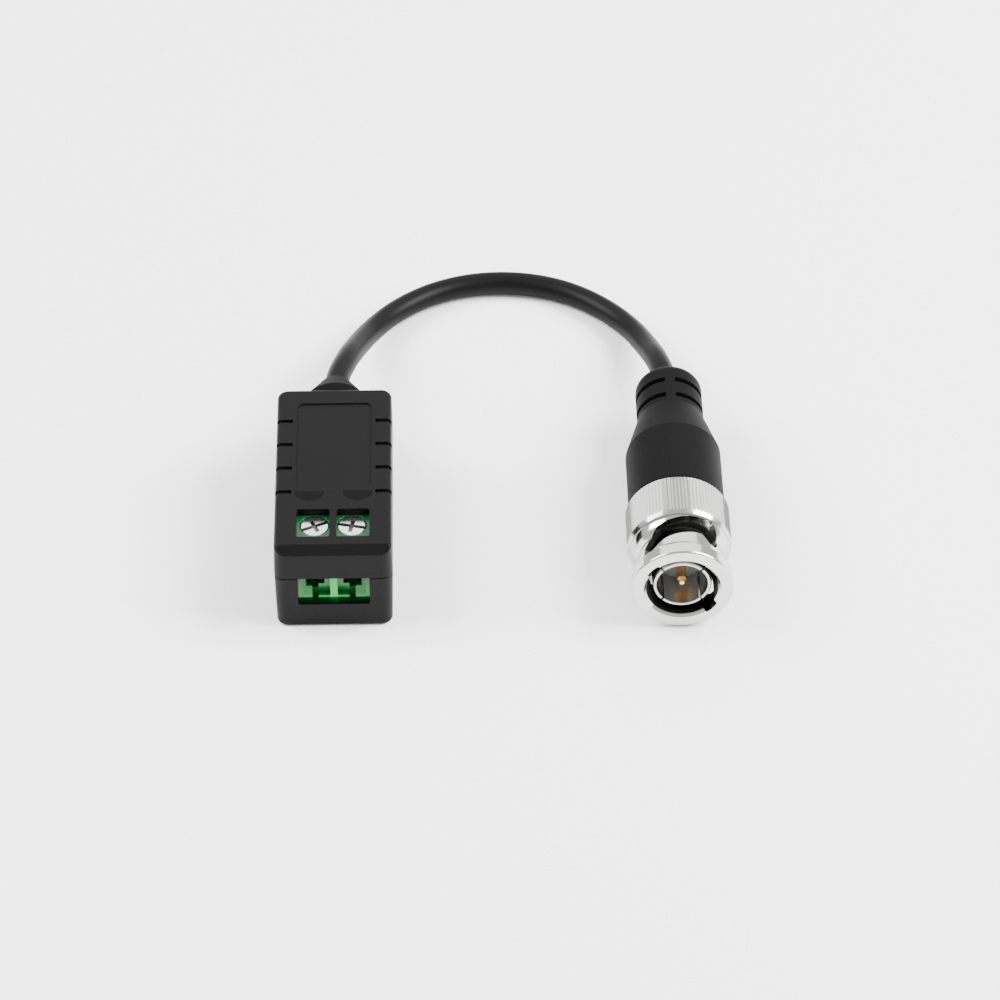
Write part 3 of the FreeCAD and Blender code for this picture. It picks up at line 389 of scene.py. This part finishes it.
FINISHES = {
    "bottom_shell": moulded_black("housing_black", BLACK, rough=0.42, grain=HOUSING_GRAIN),
    "top_cover": moulded_black("cover_black", BLACK, rough=0.42, grain=HOUSING_GRAIN),
    "cable_gland": moulded_black("gland_black", BLACK, rough=0.62, grain=SOFT_GRAIN, shine=0.03),
    "plug_boot": moulded_black(
        "boot_black", SOFT_BLACK, rough=0.55, grain=SOFT_GRAIN, shine=0.025
    ),
    "terminal_block": green_moulding(),
    "circuit_board": board_laminate(),
    "contact_left": plated("tin_strip", (0.72, 0.71, 0.68), (0.62, 0.61, 0.58), rough=0.35),
    "wire_clamp_left": plated("cage_nickel", (0.66, 0.65, 0.62), (0.56, 0.55, 0.53), rough=0.3),
    "terminal_screw_left": plated(
        "screw_zinc", (0.74, 0.75, 0.77), (0.64, 0.66, 0.7), rough=0.22, sunk=SLOT_TOP
    ),
    "ferrite_core": plain_moulded(
        "ferrite_grey", (0.03, 0.03, 0.033), (0.05, 0.05, 0.055), rough=0.6
    ),
    "core_winding": plated("enamelled_copper", (0.55, 0.2, 0.08), (0.45, 0.15, 0.06), rough=0.25),
    "surge_diode": plain_moulded(
        "epoxy_black", (0.015, 0.015, 0.016), (0.025, 0.025, 0.027), rough=0.4
    ),
    "chip_parts": plain_moulded("chip_dark", (0.03, 0.028, 0.026), (0.06, 0.055, 0.05), rough=0.4),
    "cable_leads": plated("tinned_wire", (0.7, 0.69, 0.66), (0.6, 0.59, 0.57), rough=0.35),
    "cable_core": plain_moulded("core_white", (0.75, 0.75, 0.72), (0.82, 0.82, 0.8), rough=0.5),
    "insulator": plain_moulded(
        "plug_insulation", (0.2, 0.2, 0.195), (0.26, 0.26, 0.25), rough=0.45
    ),
    "gasket_ring": plain_moulded(
        "gasket_dark", (0.02, 0.02, 0.02), (0.035, 0.035, 0.035), rough=0.6
    ),
    "coupling_nut": turned_metal(
        "nut_nickel", (0.6, 0.595, 0.58), (0.52, 0.515, 0.5), rough=0.14, dull=NUT_INSIDE
    ),
    "plug_body": turned_metal("body_nickel", (0.3, 0.295, 0.28), (0.24, 0.235, 0.22), rough=0.3),
    "outer_contact": turned_metal(
        "sleeve_nickel", (0.5, 0.495, 0.48), (0.42, 0.415, 0.4), rough=0.24, dull=SLEEVE_OUTSIDE
    ),
    "centre_pin": turned_metal("pin_gold", (0.83, 0.52, 0.2), (0.74, 0.44, 0.16), rough=0.22),
    "crimp_ferrule": turned_metal(
        "ferrule_nickel", (0.7, 0.69, 0.66), (0.6, 0.59, 0.57), rough=0.3
    ),
    "slip_washer": plated("washer_brass", (0.72, 0.55, 0.25), (0.6, 0.45, 0.2), rough=0.3),
    "spring_washer": plated("spring_bright", (0.6, 0.6, 0.61), (0.5, 0.5, 0.52), rough=0.28),
    "retaining_ring": plated("ring_bright", (0.55, 0.55, 0.57), (0.45, 0.45, 0.47), rough=0.3),
}
SAME_FINISH = {
    "contact_right": "contact_left",
    "wire_clamp_right": "wire_clamp_left",
    "terminal_screw_right": "terminal_screw_left",
}


def dress(name, node):
    """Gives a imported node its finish, in place of what its slots hold."""
    for slot in node.material_slots:
        slot.material = FINISHES[SAME_FINISH.get(name, name)]


# The cable's solid is replaced further on
for name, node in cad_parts.items():
    if name != "cable":
        dress(name, node)


# Spring ring
MERGE_DISTANCE = 0.001 * MM
SMOOTH_BELOW = math.radians(30)


def make_wave_spring():
    """The waved ring behind the plug body's flange, copied from the imported one, merged and
    shaded smooth.
    """
    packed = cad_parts["spring_washer"]
    spring = bpy.data.objects.new("wave_spring", packed.data.copy())
    spring.data.transform(packed.matrix_world)
    bpy.context.scene.collection.objects.link(spring)
    bpy.ops.object.select_all(action="DESELECT")
    spring.select_set(True)
    bpy.context.view_layer.objects.active = spring
    bpy.ops.mesh.customdata_custom_splitnormals_clear()
    bpy.ops.object.mode_set(mode="EDIT")
    bpy.ops.mesh.select_all(action="SELECT")
    bpy.ops.mesh.remove_doubles(threshold=MERGE_DISTANCE)
    bpy.ops.object.mode_set(mode="OBJECT")
    bpy.ops.object.shade_smooth_by_angle(angle=SMOOTH_BELOW)
    spring.select_set(False)
    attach(spring, "balun")
    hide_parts("spring_washer")
    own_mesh(spring)


make_wave_spring()


def make_cable():
    line = bpy.data.curves.new("cable_sheath", "CURVE")
    line.dimensions = "3D"
    line.resolution_u = 16
    line.bevel_depth = CABLE_RADIUS
    line.bevel_resolution = 8
    line.use_fill_caps = True
    spline = line.splines.new("NURBS")
    spline.points.add(len(CABLE_ROUTE) - 1)
    for point, place in zip(spline.points, CABLE_ROUTE):
        point.co = (*(MM * p for p in place), 1.0)
    spline.order_u = 3
    spline.use_endpoint_u = True
    cable = bpy.data.objects.new("cable_sheath", line)
    bpy.context.scene.collection.objects.link(cable)
    line.materials.append(moulded_black("sheath_black", BLACK, rough=0.42, grain=SHEATH_GRAIN))
    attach(cable, "balun")
    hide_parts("cable")


make_cable()


# Floor, lights and camera. The floor lies a little below the part, and the lamps look at the
# part's middle
FLOOR_SIZE = 6.0
FLOOR_HEIGHT = -0.02 * MM
LAMP_TARGET = (PLUG_X / 2, 10 * MM, 5 * MM)


def make_floor():
    bpy.ops.mesh.primitive_plane_add(size=FLOOR_SIZE, location=(PLUG_X / 2, 0, FLOOR_HEIGHT))
    floor = bpy.context.active_object
    floor.name = "studio_floor"
    paint = bpy.data.materials.new("floor_pale")
    paint.use_nodes = True
    surface = paint.node_tree.nodes["Principled BSDF"]
    surface.inputs["Base Color"].default_value = (0.95, 0.95, 0.95, 1.0)
    surface.inputs["Roughness"].default_value = 0.9
    surface.inputs["Specular IOR Level"].default_value = 0.1
    floor.data.materials.append(paint)


def turn_towards(place, target):
    """Turn of a lamp or camera that looks from place at target."""
    return (Vector(target) - Vector(place)).to_track_quat("-Z", "Y").to_euler()


def make_light(name, place, size, power):
    lamp = bpy.data.lights.new(name, "AREA")
    lamp.shape = "RECTANGLE"
    lamp.size, lamp.size_y = size
    lamp.energy = power
    light = bpy.data.objects.new(name, lamp)
    light.location = place
    light.rotation_euler = turn_towards(place, LAMP_TARGET)
    bpy.context.scene.collection.objects.link(light)


def make_world():
    world = bpy.data.worlds.new("studio_world")
    world.use_nodes = True
    backdrop = world.node_tree.nodes["Background"]
    backdrop.inputs["Color"].default_value = (1.0, 1.0, 1.0, 1.0)
    backdrop.inputs["Strength"].default_value = 1.0
    bpy.context.scene.world = world


def make_camera():
    lens = bpy.data.cameras.new("photo_camera")
    lens.lens = CAMERA_LENS
    lens.sensor_width = SENSOR_WIDTH
    lens.clip_start = 0.01
    camera = bpy.data.objects.new("photo_camera", lens)
    camera.location = CAMERA_PLACE
    camera.rotation_euler = turn_towards(CAMERA_PLACE, CAMERA_TARGET)
    bpy.context.scene.collection.objects.link(camera)
    bpy.context.scene.camera = camera


make_floor()
make_world()
make_camera()
make_light("right_softbox", place=(0.62, 0.0, 0.55), size=(0.5, 0.5), power=24.0)
make_light("left_softbox", place=(-0.6, 0.1, 0.6), size=(0.5, 0.5), power=17.0)
make_light("back_softbox", place=(0.02, 0.75, 0.68), size=(1.2, 0.5), power=4.2)


bpy.context.view_layer.update()
